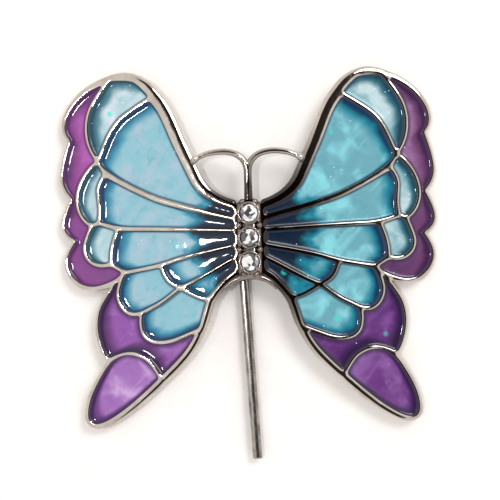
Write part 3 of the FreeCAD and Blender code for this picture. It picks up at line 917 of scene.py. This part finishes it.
def body_piece(material):
    """The bar under the stones, beads between their cups, an arch at its foot and the boss behind."""
    low, high = [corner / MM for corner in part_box("body_spine")]
    wing_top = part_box("wing_frame_left")[1].z / MM
    cups = [sum(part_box("bezel_%d" % number), Vector()) / 2 / MM for number in (1, 2, 3)]
    cup_radius = (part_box("bezel_1")[1].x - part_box("bezel_1")[0].x) / 2 / MM
    plate_back = wing_top - BAR_THICK
    work = bmesh.new()
    pillow(work, Vector((low.x, low.y, plate_back)), high, BAR_CORNER, BAR_EDGE)
    boss = Matrix.Translation((0, (low.y + high.y) / 2 - 0.15, (low.z + plate_back) / 2 + 0.1))
    bmesh.ops.create_cone(work, cap_ends=True, segments=48, radius1=high.x, radius2=high.x,
                          depth=plate_back - low.z + 0.2, matrix=boss)
    for first, second in zip(cups, cups[1:]):
        notch = (first + second) / 2
        for side in (-1, 1):
            ball(work, Vector((side * (cup_radius - 0.2), notch.y, high.z + 0.3)), 0.55)
    for y in (cups[0].y + cup_radius + 0.02, cups[2].y - cup_radius - 0.1):
        for side in (-1, 1):
            ball(work, Vector((side * 0.95, y, high.z + 0.15)), 0.5)
    arch = [(-4.2, -1.75), (-2.6, -0.45), (0, 0.25), (2.6, -0.45), (4.2, -1.75)]
    level = plate_back + 1.2
    path = [Vector((x, low.y + y, level - abs(x) * 0.1)) for x, y in arch]
    tube(work, path, (0.4, 0.48, 0.52, 0.48, 0.4))
    melted("jewelled_bar", work, BAR_GRAIN, material, "body_spine")


def leg_piece(name, node, crown, material, body):
    """A leg of the pin with soft edges. The middle of its face stands up by crown, which may be 0."""
    source = frame["nodes"][node]
    work = bmesh.new()
    work.from_mesh(source.data)
    work.transform(Matrix.Scale(1 / MM, 4) @ source.matrix_world)
    points = [v.co.copy() for v in work.verts]
    low = min(p.y for p in points)
    high = max(p.y for p in points)
    foot = [p.x for p in points if p.y < low + LEG_END]
    head = [p.x for p in points if p.y > high - LEG_END]
    foot_x = (min(foot) + max(foot)) / 2
    head_x = (min(head) + max(head)) / 2
    half = (max(foot) - min(foot)) / 2
    face = max(p.z for p in points) - LEG_FACE

    def lift(p):
        middle = foot_x + (head_x - foot_x) * (p.y - low) / (high - low)
        across = min(1.0, abs(p.x - middle) / half)
        return crown * (1 - across * across) if p.z > face else 0.0

    melted(name, work, LEG_GRAIN, material, node, lift, body)


def finish_node(node, material):
    """A CAD node whose shape is right keeps it and gets its material."""
    frame["nodes"][node].data.materials[0] = material


# ---------------------------------------------------------------- stage
def ground():
    mesh = bpy.data.meshes.new("ground")
    quarters = ((-1, -1), (1, -1), (1, 1), (-1, 1))
    corners = [(x * GROUND_HALF, y * GROUND_HALF, GROUND_LEVEL) for x, y in quarters]
    mesh.from_pydata(corners, [], [(0, 1, 2, 3)])
    mesh.materials.append(paper())
    floor = bpy.data.objects.new("ground", mesh)
    bpy.context.scene.collection.objects.link(floor)


def area_light(name, place, size, power):
    """A soft round lamp that faces the origin. Its place and size are in metres."""
    data = bpy.data.lights.new(name, "AREA")
    data.shape = "ELLIPSE"
    data.size = size
    data.size_y = size
    data.energy = power
    lamp = bpy.data.objects.new(name, data)
    lamp.location = place
    lamp.rotation_euler = (-Vector(place)).to_track_quat("-Z", "Y").to_euler()
    bpy.context.scene.collection.objects.link(lamp)


def sky():
    """Pale all round, with a dark patch overhead, longer than it is wide, for the metal to reflect."""
    world = bpy.data.worlds.new("pale_room")
    bpy.context.scene.world = world
    world.use_nodes = True
    tree = world.node_tree
    background = tree.nodes["Background"]
    heading = tree.nodes.new("ShaderNodeTexCoord").outputs["Generated"]
    stretch = tree.nodes.new("ShaderNodeVectorMath")
    stretch.operation = "MULTIPLY_ADD"
    tree.links.new(heading, stretch.inputs[0])
    stretch.inputs[1].default_value = (1 / PATCH_X, 1 / PATCH_Y, 0)
    stretch.inputs[2].default_value = (-PATCH_SHIFT / PATCH_X, 0, 0)
    radius = tree.nodes.new("ShaderNodeVectorMath")
    radius.operation = "LENGTH"
    tree.links.new(stretch.outputs["Vector"], radius.inputs[0])
    reach = tree.nodes.new("ShaderNodeMapRange")
    reach.interpolation_type = "SMOOTHSTEP"
    tree.links.new(radius.outputs["Value"], reach.inputs["Value"])
    reach.inputs["From Min"].default_value = PATCH_OUTER
    reach.inputs["From Max"].default_value = PATCH_INNER
    blend = tree.nodes.new("ShaderNodeMix")
    blend.data_type = "RGBA"
    tree.links.new(reach.outputs["Result"], blend.inputs[0])
    blend.inputs[6].default_value = ROOM_COLOUR
    blend.inputs[7].default_value = PATCH_COLOUR
    tree.links.new(blend.outputs[2], background.inputs["Color"])
    background.inputs["Strength"].default_value = ROOM_STRENGTH


def camera():
    """Straight above, turned so that the butterfly leans a little to the left."""
    data = bpy.data.cameras.new("camera")
    data.sensor_width = 36
    data.lens = data.sensor_width * VIEW_DISTANCE / VIEW_WIDTH
    view = bpy.data.objects.new("camera", data)
    wing_level = (CAD_BOX[0].z + CAD_BOX[1].z) / 2
    view.location = (BODY_CENTRE.x + VIEW_OFFSET[0] * MM, BODY_CENTRE.y + VIEW_OFFSET[1] * MM,
                     wing_level + VIEW_DISTANCE * MM)
    view.rotation_euler = (0, 0, math.radians(VIEW_LEAN))
    bpy.context.scene.collection.objects.link(view)
    bpy.context.scene.camera = view


# ---------------------------------------------------------------- the grip
CELLS = sorted(n[len("resin_left_"):] for n in frame["nodes"] if n.startswith("resin_left_"))
PURPLE = {"margin", "hind_margin", "tail"}
SPECKLED = {"top_crescent", "mid_crescent", "low_crescent"}

# The last number given to plated is the reach in mm of the painted dark reflection round the body.
wing_metal = {
    "left": plated("plating_left", "DDD6CC", "C9BFB4", 0.05, 0.03, 14.0),
    "right": plated("plating_right", "DDD6CC", "C9BFB4", 0.05, 0.03, 22.0),
}
# The body bar's plating is the wings' plating made darker: painted dark reflection, for the dark surroundings
# the bright metal mirrors round the body.
body_metal_painted_dark = plated("plating_body_painted_dark", "9A8F88", "766A64", 0.18, 0.02)
antenna_metal = plated("plating_antennae", "E0D8D0", "CFC6BC", 0.1, 0.02, 17.0)
steel = plated("plated_steel", "B4AEA8", "7A746F", 0.16, 0.015)
# The cups' plating is also made darker: painted dark reflection, so that the stones stand out.
cup_metal_painted_dark = plated("cup_plating_painted_dark", "B9B1AB", "8F8680", 0.14, 0.01)
# Painted shade: the dark colours the resin takes near the body.
TEAL_ROOT_SHADE = "001A34"          # root colour of the teal resin
PURPLE_ROOT_SHADE = "241038"           # root colour of the purple resin
# In each resin the fourth colour is the painted shade towards the far wall and along the walls; the root
# colour and the reach after it give the painted shade by the body.
resins = {
    ("left", "blue"): resin("blue_left", "84BAC8", "A0BCCC", "1F84A2", "0B3A60", TEAL_ROOT_SHADE, 7.8, 0.03),
    ("right", "blue"): resin("blue_right", "68A4B2", "86D2DC", "148096", "083052", TEAL_ROOT_SHADE, 8.8, 0.03),
    ("left", "speckled"): resin("speckled_left", "A8CAD2", "D6DEE8", "457F8E", "1B4A5E", TEAL_ROOT_SHADE, 7.8, 0.22),
    ("right", "speckled"): resin("speckled_right", "82AEB8", "BAD4DA", "2C6A7A", "103A50", TEAL_ROOT_SHADE, 8.8, 0.16),
    ("left", "margin"): resin("margin_left", "A44A9C", "AA5CB0", "843A86", "52225E", PURPLE_ROOT_SHADE, 7.4, 0.03, 0.5,
                              "703A7C", 0.42),
    ("right", "margin"): resin("margin_right", "8C5E90", "9A709E", "643464", "381846", PURPLE_ROOT_SHADE, 8.8, 0.02, 0.6,
                               "481F54", 0.4),
    ("left", "hind_margin"): resin("hind_left", "8A4CA0", "A674BC", "5A266C", "321248", PURPLE_ROOT_SHADE, 7.4, 0.02, 1.0),
    ("right", "hind_margin"): resin("hind_right", "5C2C72", "7A4692", "401A56", "240E3A", PURPLE_ROOT_SHADE, 8.8, 0.02,
                                    1.0),
    ("left", "tail"): resin("tail_left", "9A66B2", "CBA8DA", "6A3682", "3C1A54", PURPLE_ROOT_SHADE, 7.4, 0.03, 0.9),
    ("right", "tail"): resin("tail_right", "66347C", "8A5CA0", "44205C", "261040", PURPLE_ROOT_SHADE, 8.8, 0.02, 0.9),
}

for wing in SIDES:
    wing_piece(wing, wing_metal[wing])
    for cell_name in CELLS:
        if cell_name in PURPLE:
            look, slot_name = cell_name, "resin_purple"
        else:
            look, slot_name = "speckled" if cell_name in SPECKLED else "blue", "resin_teal"
        resin_piece(wing, cell_name, resins[wing, look])

stone_painted_sparkle = clear_stone()
for number in (1, 2, 3):
    bezel_piece(number, cup_metal_painted_dark)
    brilliant(number, stone_painted_sparkle)

body_piece(body_metal_painted_dark)
antennae_piece(antenna_metal)
leg_piece("crowned_front_leg", "pin_front_leg", LEG_CROWN, steel, BODY)
leg_piece("soft_rear_leg", "pin_rear_leg", 0.0, steel, "rear_leg")
finish_node("pin_pad", steel)
finish_node("pad_glue", set_glue())

ground()
sky()
camera()
area_light("glare", (-0.115, 0.012, 0.5), 0.042, 0.5)
area_light("softbox", (0.22, 0.25, 0.45), 0.25, 1.1)

bpy.context.scene.view_settings.view_transform = "Standard"
